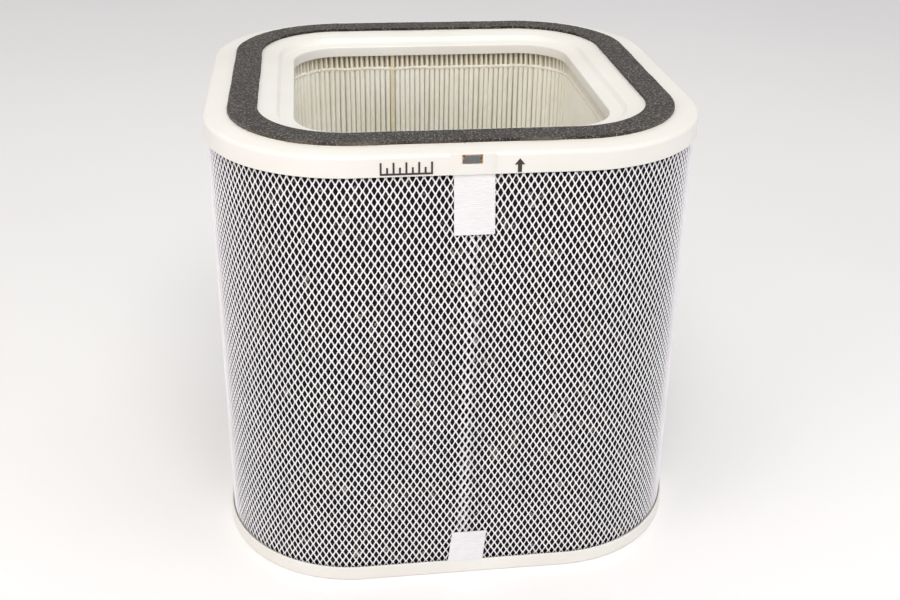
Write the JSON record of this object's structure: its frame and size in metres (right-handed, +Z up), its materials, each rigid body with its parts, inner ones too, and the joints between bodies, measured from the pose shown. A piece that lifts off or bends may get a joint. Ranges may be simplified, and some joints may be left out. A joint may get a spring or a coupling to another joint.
{
  "type": "air purifier filter cartridge",
  "caption": "Rounded-square filter cartridge for an air purifier: pleated media ring in carbon and white diamond net, between moulded end caps with a foam gasket round the top opening.",
  "frame": {"origin": "middle of the underside of the bottom end cap, on the surface the cartridge stands on", "axes": "+Z up, from the closed bottom end cap to the open top end cap; the front with the tag and the net seam faces -Y; +X is to the right seen from the front"},
  "size_m": [0.28, 0.2732, 0.2695],
  "materials": {
    "cap_plastic": "satin",
    "gasket_foam": "matte",
    "gasket_film": "satin",
    "potting_adhesive": "satin",
    "filter_media": "matte",
    "splice_glue": "satin",
    "bead_glue": "gloss",
    "scrim_fleece": "matte",
    "carbon_granules": "matte",
    "net_plastic": "satin",
    "seam_tape": "satin",
    "tag_board": "satin",
    "tag_resin": "satin",
    "tag_brass": "polished",
    "print_ink": "matte"
  },
  "bodies": {
    "root": {"top_end_cap": "cap_plastic", "bottom_end_cap": "cap_plastic", "gasket_left": "gasket_foam", "gasket_right": "gasket_foam", "gasket_adhesive_left": "gasket_film", "gasket_adhesive_right": "gasket_film", "top_potting": "potting_adhesive", "bottom_potting": "potting_adhesive", "pleated_media": "filter_media", "media_splice_strip": "splice_glue", "inner_bead_upper": "bead_glue", "inner_bead_middle": "bead_glue", "inner_bead_lower": "bead_glue", "outer_bead_upper": "bead_glue", "outer_bead_middle": "bead_glue", "outer_bead_lower": "bead_glue", "carbon_scrim": "scrim_fleece", "carbon_layer": "carbon_granules", "prefilter_net": "net_plastic", "net_seam_overlap": "net_plastic", "top_seam_tab": "seam_tape", "bottom_seam_tab": "seam_tape", "tag_board": "tag_board", "tag_chip": "tag_resin", "tag_terminal_left": "tag_brass", "tag_terminal_right": "tag_brass", "front_scale_mark": "print_ink", "up_arrow_mark": "print_ink"}
  },
  "joints": []
}
